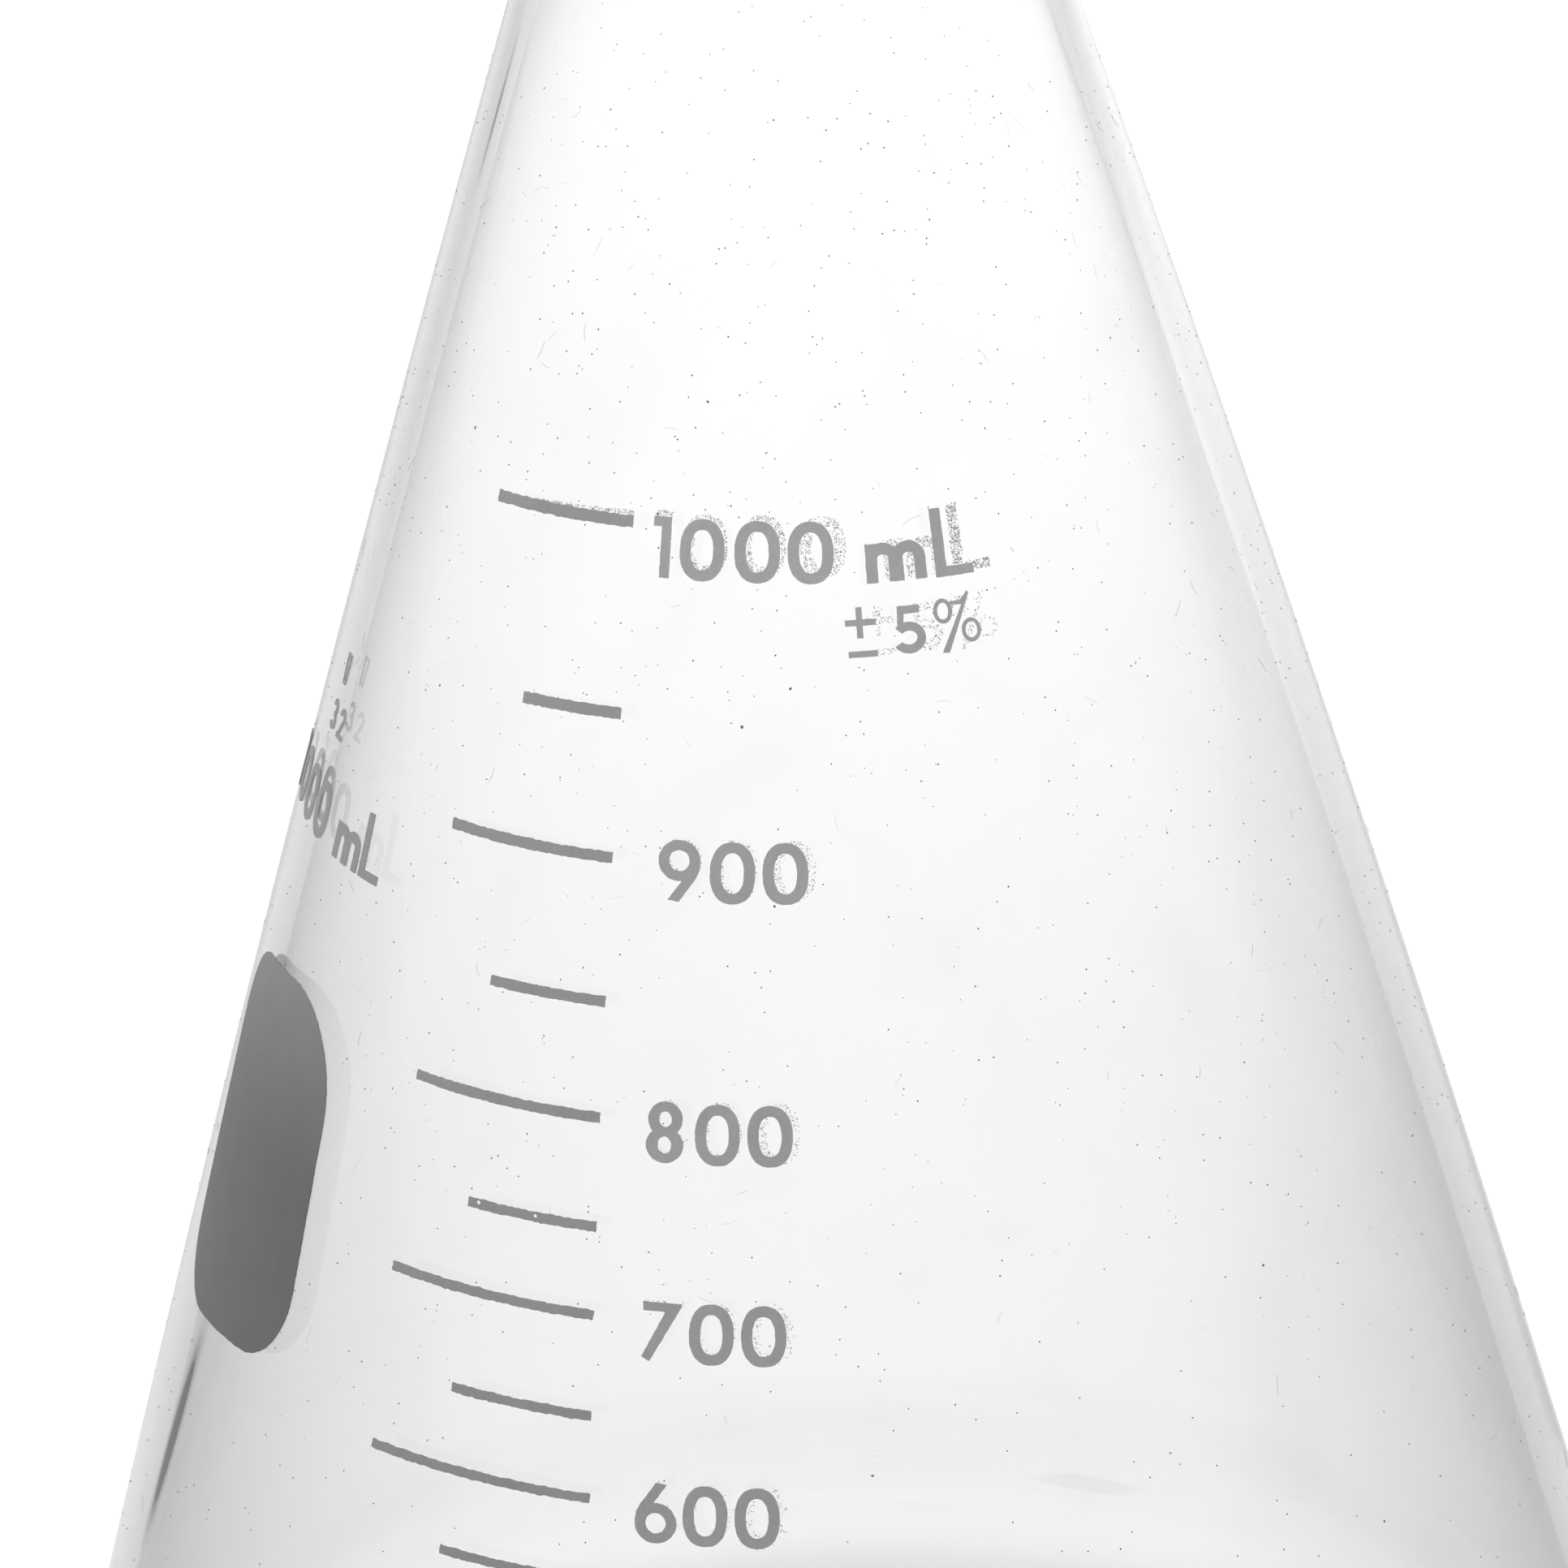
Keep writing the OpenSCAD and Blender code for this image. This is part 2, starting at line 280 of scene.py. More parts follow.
def add_reflection_streak(nodes, links, place, low, high, width, darkness):
    """A soft dark streak, a painted reflection, from one place to another. place has X, Y and Z.
    """
    front = add_math(nodes, links, "MULTIPLY", place["Y"], -1.0)
    angle = add_math(nodes, links, "ARCTAN2", place["X"], front)
    heights = (low[1] * MM, high[1] * MM)
    middle = add_range(nodes, links, place["Z"], heights,
                       (math.radians(low[0]), math.radians(high[0])))
    off = add_math(nodes, links, "SUBTRACT", angle, middle)
    away = add_math(nodes, links, "ABSOLUTE", off, 0.0)
    across = add_range(nodes, links, away, (0.0, math.radians(width / 2)), (darkness, 0.0),
                       "SMOOTHSTEP")
    rise = add_range(nodes, links, place["Z"], heights, (0.0, math.pi))
    along = add_math(nodes, links, "SINE", rise, 0.0)
    return add_math(nodes, links, "MULTIPLY", across, along)


def add_painted_shade_and_smears(nodes, links, shade_stops, streaks):
    """How dark a surface of the glass is made: painted shade, smears and painted reflections."""
    place, axes = add_place(nodes, links)
    slope = nodes.new("ShaderNodeLayerWeight")
    slope.inputs["Blend"].default_value = 0.5
    facing = slope.outputs["Facing"]
    # The painted shade by slope is greatest about half-way between square on and edge-on.
    low = add_range(nodes, links, axes["Z"], (SLOPE_SHADE_LOW_Z * MM, SLOPE_SHADE_HIGH_Z * MM),
                    (SLOPE_SHADE, 0.0), "SMOOTHSTEP")
    square = add_math(nodes, links, "SUBTRACT", 1.0, facing)
    turned = add_math(nodes, links, "SUBTRACT", facing, SLOPE_START)
    from_start = add_math(nodes, links, "MAXIMUM", turned, 0.0)
    half_way = add_math(nodes, links, "MULTIPLY", from_start, square)
    slope_shade = add_math(nodes, links, "MULTIPLY", half_way, low)
    fresnel = nodes.new("ShaderNodeFresnel")
    fresnel.inputs["IOR"].default_value = IOR
    edge_shade = add_ramp(nodes, links, shade_stops, fresnel.outputs["Fac"])
    height = add_math(nodes, links, "DIVIDE", axes["Z"], HEEL_SHADE_TOP_Z * MM)
    heel_shade = add_ramp(nodes, links, HEEL_SHADE, height)
    cloud = add_noise(nodes, links, place, SMEAR_SCALE)
    smear = add_range(nodes, links, cloud, SMEAR_SHOWN, (0.0, SMEAR_LOSS))
    heel_shade_and_smear = add_math(nodes, links, "ADD", heel_shade, smear)
    view_shade = add_math(nodes, links, "ADD", slope_shade, edge_shade)
    shade_and_smears = add_math(nodes, links, "ADD", heel_shade_and_smear, view_shade)
    # Painted reflections, which show as the glass turns edge-on.
    for streak in streaks:
        shown = add_ramp(nodes, links, REFLECTION_STREAK_STOPS, facing)
        dark = add_reflection_streak(nodes, links, axes, *streak)
        seen_dark = add_math(nodes, links, "MULTIPLY", dark, shown)
        shade_and_smears = add_math(nodes, links, "ADD", shade_and_smears, seen_dark)
    return shade_and_smears


def glass_material(name, roughness, shade_stops, frost=0.0, streaks=()):
    """Clear or ground glass, with painted shade edge-on and low down. Lamps shine through it."""
    material, nodes, links, output = new_material(name)
    glass = nodes.new("ShaderNodeBsdfPrincipled")
    glass.inputs["Roughness"].default_value = roughness
    glass.inputs["IOR"].default_value = IOR
    glass.inputs["Transmission Weight"].default_value = 1.0 - frost
    tint = nodes.new("ShaderNodeMix")
    tint.data_type = "RGBA"
    tint.inputs["A"].default_value = (1.0, 1.0, 1.0, 1.0)
    tint.inputs["B"].default_value = (0.0, 0.0, 0.0, 1.0)
    links.new(add_painted_shade_and_smears(nodes, links, shade_stops, streaks), tint.inputs["Factor"])
    links.new(tint.outputs["Result"], glass.inputs["Base Color"])
    path = nodes.new("ShaderNodeLightPath")
    lamps = add_math(nodes, links, "MAXIMUM", path.outputs["Is Shadow Ray"],
                     path.outputs["Is Diffuse Ray"])
    clear = nodes.new("ShaderNodeBsdfTransparent")
    clear.inputs["Color"].default_value = (LAMP_SHARE, LAMP_SHARE, LAMP_SHARE, 1.0)
    mix = nodes.new("ShaderNodeMixShader")
    links.new(lamps, mix.inputs["Fac"])
    links.new(glass.outputs["BSDF"], mix.inputs[1])
    links.new(clear.outputs["BSDF"], mix.inputs[2])
    links.new(mix.outputs["Shader"], output.inputs["Surface"])
    return material


# Enamel: its roughness, the scales of its fine grain and of its clouds, and how they spread its
# grey. The bump of the grain has a strength and a height.
ENAMEL_ROUGHNESS = 0.55
GRAIN_SCALE, GRAIN_DETAIL = 2600.0, 3.0
CLOUD_SCALE = 300.0
NOISE_RANGE, TONE_RANGE = (0.6, 1.4), (0.92, 1.08)
BUMP_STRENGTH, BUMP_H = 0.15, 0.02
# Heights between which painted light makes the print lighter towards the top.
PAINTED_LIGHT_LOW_Z, PAINTED_LIGHT_HIGH_Z = 40.0, 130.0


def enamel_material(name, low, high, low_z=PAINTED_LIGHT_LOW_Z, high_z=PAINTED_LIGHT_HIGH_Z, rise="LINEAR"):
    """Fired enamel with a fine grain, its grey painted lighter from low to high up the flask."""
    material, nodes, links, output = new_material(name)
    shader = nodes.new("ShaderNodeBsdfPrincipled")
    shader.inputs["Roughness"].default_value = ENAMEL_ROUGHNESS
    place, axes = add_place(nodes, links)
    # Painted light: the grey rises with height.
    grey = add_range(nodes, links, axes["Z"], (low_z * MM, high_z * MM), (low, high), rise)
    grain = add_noise(nodes, links, place, GRAIN_SCALE, GRAIN_DETAIL)
    cloud = add_noise(nodes, links, place, CLOUD_SCALE)
    both = add_math(nodes, links, "ADD", grain, cloud)
    spread = add_range(nodes, links, both, NOISE_RANGE, TONE_RANGE)
    tone = add_math(nodes, links, "MULTIPLY", grey, spread)
    colour = nodes.new("ShaderNodeCombineColor")
    for channel in ("Red", "Green", "Blue"):
        links.new(tone, colour.inputs[channel])
    links.new(colour.outputs["Color"], shader.inputs["Base Color"])
    bump = nodes.new("ShaderNodeBump")
    bump.inputs["Strength"].default_value = BUMP_STRENGTH
    bump.inputs["Distance"].default_value = BUMP_H * MM
    links.new(grain, bump.inputs["Height"])
    links.new(bump.outputs["Normal"], shader.inputs["Normal"])
    links.new(shader.outputs["BSDF"], output.inputs["Surface"])
    return material


GROUND_ROUGHNESS, GROUND_FROST = 0.42, 0.25
# Painted shade darkens all three glasses, and the clear one also has painted reflections.
clear_glass = glass_material("clear_glass", 0.0, OUTER_SHADE, streaks=REFLECTION_STREAKS)
inner_glass = glass_material("inner_glass", 0.0, INNER_SHADE)
ground_glass = glass_material("ground_glass", GROUND_ROUGHNESS, OUTER_SHADE, frost=GROUND_FROST)
# Each grey rises up the flask as painted light, and the spot's about doubles.
enamel = enamel_material("enamel", 0.237, 0.319)
numeral_enamel = enamel_material("numeral_enamel", 0.275, 0.385)
spot_enamel = enamel_material("spot_enamel", 0.11, 0.23, 76.0, 96.0, "SMOOTHSTEP")
thin_enamel = enamel_material("thin_enamel", 0.30, 0.42)
wear_grey = enamel_material("wear_grey", 0.42, 0.5)
dust_grey = enamel_material("dust_grey", 0.12, 0.16)


# ---- Turned glass ----

def arc(centre, radius, start, stop, step=5.0):
    """Points (r, z) along an arc, from one angle in degrees to another."""
    count = max(2, round(abs(stop - start) / step))
    angles = [math.radians(start + (stop - start) * i / count) for i in range(count + 1)]
    return [(centre[0] + radius * math.cos(a), centre[1] + radius * math.sin(a)) for a in angles]


def straight(start, stop, step=2.5):
    """Points (r, z) after start along a straight line, up to but not at stop."""
    count = max(1, round(math.dist(start, stop) / step))
    shares = [i / count for i in range(1, count)]
    return [(start[0] + (stop[0] - start[0]) * s, start[1] + (stop[1] - start[1]) * s)
            for s in shares]


def add_object(name, vertices, faces, materials, face_material=None, sharp=None):
    """A mesh object from points in millimetres, shaded smooth up to the sharp angle."""
    mesh = bpy.data.meshes.new(name)
    mesh.from_pydata([Vector(v) * MM for v in vertices], [], faces)
    for material in materials:
        mesh.materials.append(material)
    if face_material:
        mesh.polygons.foreach_set("material_index", face_material)
    mesh.shade_smooth()
    if sharp:
        mesh.set_sharp_from_angle(angle=math.radians(sharp))
    mesh.update()
    obj = bpy.data.objects.new(name, mesh)
    bpy.context.scene.collection.objects.link(obj)
    return obj


def turn(name, section, segments, materials, radius_at):
    """Turns an open section, which starts and ends on the axis, into a closed solid.
    section is a list of (r, z, material number, tag), and radius_at gives the radius of a
    point from its r, z, tag and angle."""
    vertices, rings = [], []
    for r, z, _, tag in section:
        first = len(vertices)
        if r < 1e-6:
            vertices.append((0.0, 0.0, z))
            rings.append([first] * segments)
            continue
        for i in range(segments):
            angle = 2 * math.pi * i / segments
            at = radius_at(r, z, tag, angle)
            vertices.append((at * math.sin(angle), -at * math.cos(angle), z))
        rings.append([first + i for i in range(segments)])
    faces, face_material = [], []
    for (low, high), point in zip(zip(rings, rings[1:]), section):
        for i in range(segments):
            j = (i + 1) % segments
            corners = [low[i], low[j], high[j], high[i]]
            face = [c for k, c in enumerate(corners) if c not in corners[:k]]
            faces.append(face)
            face_material.append(point[2])
    return add_object(name, vertices, faces, materials, face_material)


CLEAR, GROUND, INNER = 0, 1, 2


def tagged(points, material=CLEAR, tag="outer"):
    return [(r, z, material, tag) for r, z in points]


def flask_section():
    """The wall of the flask, from the middle of the base up the outside and down the inside."""
    deg = math.degrees
    flank_steps = 56
    heights = [heel_top_z + (sweep_low_z - heel_top_z) * i / flank_steps
               for i in range(1, flank_steps)]
    outside = (
        arc(kick_centre, kick_sphere_r, 90, 90 - deg(kick_half_angle), 0.25)
        + arc(heel_centre, HEEL_R, -90, deg(heel_lean), 4)
        + [(flank_r(z), z) for z in heights]
        + arc(sweep_centre, SWEEP_R, 180 + deg(sweep_lean), 180, 2)
    )
    neck = (
        straight(outside[-1], (neck_r, socket_low_z)) + [(neck_r, socket_low_z)]
        + straight((neck_r, socket_low_z), (neck_top_r, bead_low_z))
        + arc((neck_top_r + foot_arc_r, bead_low_z), foot_arc_r,
              180, 180 - deg(foot_arc_angle), 6)
        + arc((bead_outer_r - foot_arc_r, bead_low_z + BEAD_FOOT_H), foot_arc_r,
              -deg(foot_arc_angle), 0, 6)[1:]
        + arc((bead_outer_r - BEAD_R, mouth_z - BEAD_R), BEAD_R, 0, 90, 6)[1:]
        + arc((JOINT_D / 2 + LIP_R, mouth_z - LIP_R), LIP_R, 90, 180, 6)
    )
    socket_low = (socket_low_r, socket_low_z)
    socket = straight(neck[-1], socket_low)
    relief = [socket_low, (neck_bore_r, socket_low_z - BORE_RELIEF)]
    inside = (
        straight(relief[-1], (neck_bore_r, sweep_centre[1]))
        + arc(sweep_centre, SWEEP_R + WALL, 180, 180 + deg(sweep_lean), 2)
        + [(flank_r(z) - WALL * math.cos(flank_lean(z)), z - WALL * math.sin(flank_lean(z)))
           for z in reversed(heights)]
        + arc(heel_centre, HEEL_R - WALL, deg(heel_lean), -90, 4)
        + arc(kick_centre, kick_sphere_r + WALL, 90 - deg(kick_half_angle), 90, 0.25)
    )
    return (
        tagged(outside + neck[:-1])
        + tagged([neck[-1]] + socket, GROUND, "ground")
        + tagged(relief, INNER, "inner")
        + tagged(inside, INNER, "inner")
    )


# The wall is thicker on the right, from THICK_TOP_Z down and in full THICK_FADE below it. It is
# also uneven everywhere, by a pattern of a given width and height. Both fade out below the
# socket and near the middle of the base.
THICKER, THICK_TOP_Z, THICK_FADE = 0.45, 160.0, 120.0
UNEVEN, UNEVEN_TURN, UNEVEN_H = 0.04, 0.8, 90.0
TRUE_BELOW_SOCKET, SOCKET_FADE, BASE_FADE_R = 6.0, 12.0, 20.0


def blown(r, z, tag, angle):
    """The inside of blown glass isn't quite true: low down, the wall is thicker on the right."""
    if tag != "inner":
        return r
    low = min(1.0, max(0.0, (THICK_TOP_Z - z) / THICK_FADE))
    right = max(0.0, math.sin(angle))
    where = Vector((math.sin(angle) * UNEVEN_TURN, math.cos(angle) * UNEVEN_TURN, z / UNEVEN_H))
    below = min(1.0, max(0.0, (socket_low_z - TRUE_BELOW_SOCKET - z) / SOCKET_FADE))
    fade = below * min(1.0, r / BASE_FADE_R)
    return r - fade * (THICKER * low * right + UNEVEN * noise.noise(where))


def hexagon_r(angle, inset):
    """Radius of the head's rounded hexagon, moved in by inset. A flat faces the front."""
    turned = (math.degrees(angle) + 30) % 60 - 30
    flat, corner = HEAD_AF / 2 - inset, HEAD_CORNER_R - inset
    to_corner = (flat - corner) / math.cos(math.radians(30))
    away = math.radians(30 - abs(turned))
    on_flat = flat / math.cos(math.radians(turned))
    reach = corner ** 2 - (to_corner * math.sin(away)) ** 2
    if reach < 0 or on_flat * math.sin(math.radians(abs(turned))) < to_corner * 0.5:
        return on_flat
    return min(on_flat, to_corner * math.cos(away) + math.sqrt(reach))


# The top of the stopper's head is slightly dished.
DISH = 0.25
HEAD_STEPS, HEAD_EDGE_STEPS = 8, 12


def stopper_section():
    """The stopper, from the top of its hollow down the inside and up the outside to the head."""
    deg = math.degrees
    hollow_low = (plug_r(plug_low_z) - PLUG_WALL, plug_low_z)
    hollow = arc((0, hollow_top_z), hollow_top_r, 90, 0, 6)
    plug_low = arc((plug_r(plug_low_z) - PLUG_EDGE_R, plug_low_z + PLUG_EDGE_R),
                   PLUG_EDGE_R, -90, 0, 10)
    plug_top = (plug_r(plug_top_z), plug_top_z)
    waist = arc(waist_centre, waist_arc_r,
                180 + deg(waist_half_angle), 180 - deg(waist_half_angle), 6)[1:]
    section = (
        tagged(hollow + straight(hollow[-1], hollow_low) + [hollow_low])
        + tagged(plug_low[:-1])
        + tagged([plug_low[-1]] + straight(plug_low[-1], plug_top), GROUND, "ground")
        + tagged([plug_top] + waist[:-1])
    )
    # The head goes from round to hexagonal over its underside, and back over its top.
    under_r = waist[-1][0]
    flat_r = HEAD_AF / 2 - HEAD_EDGE_R
    for i in range(HEAD_STEPS + 1):
        share = i / HEAD_STEPS
        r = under_r + (flat_r - under_r) * share
        section.append((r, head_low_z, CLEAR, ("hex", HEAD_EDGE_R, share ** 2)))
    for centre_z, start in ((head_low_z + HEAD_EDGE_R, -90), (head_top_z - HEAD_EDGE_R, 0)):
        for i in range(1 if start else 0, HEAD_EDGE_STEPS + 1):
            a = math.radians(start + 90 * i / HEAD_EDGE_STEPS)
            inset = HEAD_EDGE_R * (1 - math.cos(a))
            z = centre_z + HEAD_EDGE_R * math.sin(a)
            section.append((HEAD_AF / 2 - inset, z, CLEAR, ("hex", inset, 1.0)))
    for i in range(1, HEAD_STEPS + 1):
        share = 1 - i / HEAD_STEPS
        z = head_top_z - DISH * (1 - share) ** 2
        section.append((flat_r * share, z, CLEAR, ("hex", HEAD_EDGE_R, share ** 2)))
    return section


def stopper_r(r, z, tag, angle):
    """Radius of a point of the stopper, which is round but for its head."""
    if tag[0] != "hex":
        return r
    _, inset, share = tag
    flat_r = HEAD_AF / 2 - inset
    return r + (hexagon_r(angle, inset) - flat_r) * share * (r / flat_r)


FLASK_SEGMENTS, STOPPER_SEGMENTS = 320, 240
flask_glass = turn("flask_glass", flask_section(), FLASK_SEGMENTS,
                   [clear_glass, ground_glass, inner_glass], blown)
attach(flask_glass, "flask")
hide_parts("flask_body")

stopper_glass = turn("stopper_glass", stopper_section(), STOPPER_SEGMENTS,
                     [clear_glass, ground_glass], stopper_r)
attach(stopper_glass, "stopper")
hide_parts("stopper")


# ---- Printed films ----
# Artwork is flat: u runs to the right and v up the flank, both in millimetres. A stroke is an
# outline with holes in it, and a film is the union of its strokes, wrapped on the flank.

def oval(cx, cy, rx, ry, power=2.0, count=60):
    """Points of an oval. A power above 2 makes it squarer."""
    points = []
    for i in range(count):
        a = 2 * math.pi * i / count
        c, s = math.cos(a), math.sin(a)
        points.append((cx + rx * math.copysign(abs(c) ** (2 / power), c),
                       cy + ry * math.copysign(abs(s) ** (2 / power), s)))
    return points


def ring(cx, cy, rx, ry, stroke_x, stroke_y, power=2.0):
    """An oval stroke, with its own width across and up."""
    return (oval(cx, cy, rx, ry, power), [oval(cx, cy, rx - stroke_x, ry - stroke_y, power)])


def bar(start, stop, width):
    """A straight stroke with square ends."""
    along = Vector(stop) - Vector(start)
    side = Vector((-along.y, along.x)).normalized() * width / 2
    start, stop = Vector(start), Vector(stop)
    return ([tuple(p) for p in (start - side, stop - side, stop + side, start + side)], [])


def bow(cx, cy, rx, ry, stroke, start, stop, count=40):
    """A stroke along an oval's edge, from one angle to another."""
    angles = [math.radians(start + (stop - start) * i / count) for i in range(count + 1)]
    outer = [(cx + rx * math.cos(a), cy + ry * math.sin(a)) for a in angles]
    inner = [(cx + (rx - stroke) * math.cos(a), cy + (ry - stroke) * math.sin(a))
             for a in reversed(angles)]
    return (outer + inner, [])


def arch(left, right, height, stroke):
    """A stem, a round top and another stem."""
    cx, rx = (left + right) / 2, (right - left) / 2
    ry = rx * 0.95
    over = [(cx + rx * math.cos(a), height - ry + ry * math.sin(a))
            for a in (math.pi * i / 24 for i in range(25))]
    under = [(cx - (rx - stroke) * math.cos(a), height - ry + (ry - stroke) * math.sin(a))
             for a in (math.pi * i / 24 for i in range(25))]
    outline = [(right, 0.0)] + over + [(left, 0.0), (left + stroke, 0.0)]
    return (outline + under + [(right - stroke, 0.0)], [])


ZERO = [ring(1.75, 2.36, 1.75, 2.36, 0.87, 0.8, 2.3)]
NINE = [ring(1.65, 3.16, 1.66, 1.56, 0.84, 0.75),
        ([(3.31, 2.95), (3.23, 2.35), (3.03, 1.9), (1.73, 0.0), (0.84, 0.12), (1.9, 1.62),
          (2.5, 2.75)], [])]
# A six is a nine turned round.
NINE_W, DIGIT_H = 3.31, 4.72
SIX = [([(NINE_W - x, DIGIT_H - y) for x, y in outline],
        [[(NINE_W - x, DIGIT_H - y) for x, y in hole] for hole in holes])
       for outline, holes in NINE]
EIGHT = [ring(1.47, 3.38, 1.38, 1.35, 0.85, 0.75), ring(1.47, 1.38, 1.475, 1.38, 0.93, 0.72)]
SEVEN = [([(0, 4.6), (3.13, 4.6), (3.13, 4.45), (0.67, 0.0), (0.02, 0.32), (1.8, 3.93),
           (0.02, 3.93)], [])]
ONE = [([(0, 4.66), (1.44, 4.66), (1.42, 0), (0.66, 0), (0.66, 3.9), (0, 3.9)], [])]
FIVE = [([(0.55, 4.66), (2.9, 4.66), (2.9, 3.9), (1.2, 3.9), (0.98, 2.35), (0.2, 2.1)], []),
        bow(1.45, 1.55, 1.6, 1.6, 0.78, 142, -145)]
FOUR = [bar((2.45, 0), (2.45, 4.66), 0.8), bar((0.0, 1.3), (3.3, 1.3), 0.75),
        ([(0.0, 1.2), (2.05, 4.66), (2.75, 4.66), (0.95, 1.4)], [])]
THREE = [bow(1.3, 3.4, 1.25, 1.3, 0.75, 165, -75), bow(1.35, 1.38, 1.5, 1.42, 0.78, 80, -160),
         bar((1.15, 2.46), (1.65, 2.46), 0.65)]
TWO = [bow(1.35, 3.35, 1.35, 1.35, 0.75, 175, -35),
       ([(2.62, 2.9), (1.25, 0.7), (0.1, 0.0), (0.0, 0.25), (1.85, 3.1)], []),
       bar((0.0, 0.37), (2.9, 0.37), 0.74)]
LETTER_M = [arch(0.0, 2.62, 3.0, 0.88), arch(1.96, 4.58, 3.0, 0.88),
            bar((0.44, 0), (0.44, 2.95), 0.88)]
LETTER_L = [bar((0.43, 0), (0.43, 5.24), 0.86), bar((0.0, 0.37), (2.95, 0.37), 0.74)]
PLUS = [bar((0.0, 1.18), (2.36, 1.18), 0.46), bar((1.1, 0.0), (1.1, 2.36), 0.48)]
MINUS = [bar((0.0, 0.23), (2.2, 0.23), 0.46)]
SMALL_FIVE = [([(0.27, 3.64), (2.0, 3.64), (2.0, 3.04), (0.76, 3.04), (0.64, 2.1), (0.18, 1.9)],
               []), bow(1.02, 1.2, 1.3, 1.2, 0.66, 140, -148)]
PER_CENT = [ring(0.75, 3.2, 0.75, 0.95, 0.3, 0.3), ring(2.85, 1.5, 0.76, 0.92, 0.28, 0.3),
            ([(2.86, 4.5), (3.0, 4.36), (0.92, 0.0), (0.4, 0.06)], []),
            ([(1.2, 3.85), (2.2, 3.85), (2.9, 4.5), (2.75, 4.2), (2.3, 3.55), (1.3, 3.6)], [])]
DIGITS = {3: THREE, 4: FOUR, 5: FIVE, 6: SIX, 7: SEVEN, 8: EIGHT, 9: NINE}
DIGIT_W = {3: 2.85, 4: 3.3, 5: 3.05, 6: 3.3, 7: 3.13, 8: 2.95, 9: NINE_W}


def moved(strokes, du, dv):
    """Strokes moved to the right and up."""
    def shift(outline):
        return [(u + du, v + dv) for u, v in outline]
    return [(shift(outline), [shift(hole) for hole in holes]) for outline, holes in strokes]


# Unevenness of the print's edges, in bumps per millimetre.
WEAR_SCALE = 3.1


def worn(outline, step, amount, seed):
    """Points at a regular step along a closed outline, each moved a little."""
    points = []
    for start, stop in zip(outline, outline[1:] + outline[:1]):
        count = max(1, round(math.dist(start, stop) / step))
        for i in range(count):
            u = start[0] + (stop[0] - start[0]) * i / count
            v = start[1] + (stop[1] - start[1]) * i / count
            move = noise.noise_vector(Vector((u * WEAR_SCALE, v * WEAR_SCALE, seed)))
            points.append((u + amount * move.x, v + amount * move.y))
    return points


def inside(u, v, outline):
    """Whether a point lies inside a closed outline."""
    odd = False
    for (u1, v1), (u2, v2) in zip(outline, outline[1:] + outline[:1]):
        if (v1 > v) != (v2 > v) and u < u1 + (v - v1) / (v2 - v1) * (u2 - u1):
            odd = not odd
    return odd


def inked(u, v, strokes):
    """Whether a point lies on any of some strokes."""
    return any(inside(u, v, outline) and not any(inside(u, v, h) for h in holes)
               for outline, holes in strokes)


def anticlockwise(polygon):
    doubled = sum(u1 * v2 - u2 * v1
                  for (u1, v1), (u2, v2) in zip(polygon, polygon[1:] + polygon[:1]))
    return polygon if doubled > 0 else polygon[::-1]


def film_mesh(strokes, pitch):
    """Triangles of the union of some strokes, with inner points at a regular pitch."""
    points, outlines, stroke_ids = [], [], []
    for outline, holes in strokes:
        ids = []
        for polygon in map(anticlockwise, [outline] + holes):
            ids.append(len(outlines))
            outlines.append(list(range(len(points), len(points) + len(polygon))))
            points.extend(Vector(p) for p in polygon)
        stroke_ids.append((ids[0], set(ids[1:])))
    low_u, high_u = min(p.x for p in points), max(p.x for p in points)
    low_v, high_v = min(p.y for p in points), max(p.y for p in points)
    for i in range(1, int((high_u - low_u) / pitch) + 1):
        for j in range(1, int((high_v - low_v) / pitch) + 1):
            points.append(Vector((low_u + i * pitch, low_v + j * pitch)))
    found, _, triangles, _, _, owners = delaunay_2d_cdt(points, [], outlines, 1, 1e-5)
    kept = [tri for tri, own in zip(triangles, owners)
            if any(outer in own and not holes & set(own) for outer, holes in stroke_ids)]
    return [tuple(p) for p in found], kept


def on_flank(angle, z, lift):
    """The point on the flank at an angle in degrees and a height, lifted off the glass."""
    r = flank_r(z) + lift
    a = math.radians(angle)
    return (r * math.sin(a), -r * math.cos(a), z)


def artwork(angle, z, middle=2.3, scale=1.0):
    """Where artwork with its corner at an angle and a height goes on the flank."""
    lean = math.cos(flank_lean(z))
    around = flank_r(z + middle * lean)
    return lambda u, v: (angle + math.degrees(u * scale / around), z + v * scale * lean)


def wrap(parts, lift=FILM_GAP, thickness=FILM_T):
    """Vertices and faces of closed films. parts is a list of (points, faces, place)."""
    vertices, faces = [], []
    for points, tris, place in parts:
        used = sorted({i for tri in tris for i in tri})
        number = {i: len(vertices) + 2 * k for k, i in enumerate(used)}
        for i in used:
            angle, z = place(*points[i])
            vertices.append(on_flank(angle, z, lift))
            vertices.append(on_flank(angle, z, lift + thickness))
        edges = {(tri[k - 1], tri[k]) for tri in tris for k in range(len(tri))}
        for tri in tris:
            faces.append([number[i] + 1 for i in tri])
            faces.append([number[i] for i in reversed(tri)])
        for a, b in edges:
            if (b, a) not in edges:
                faces.append([number[b] + 1, number[a] + 1, number[a], number[b]])
    return vertices, faces


# A film is shaded smooth, but not over its edges, which turn by more than this angle.
FILM_SHARP = 35


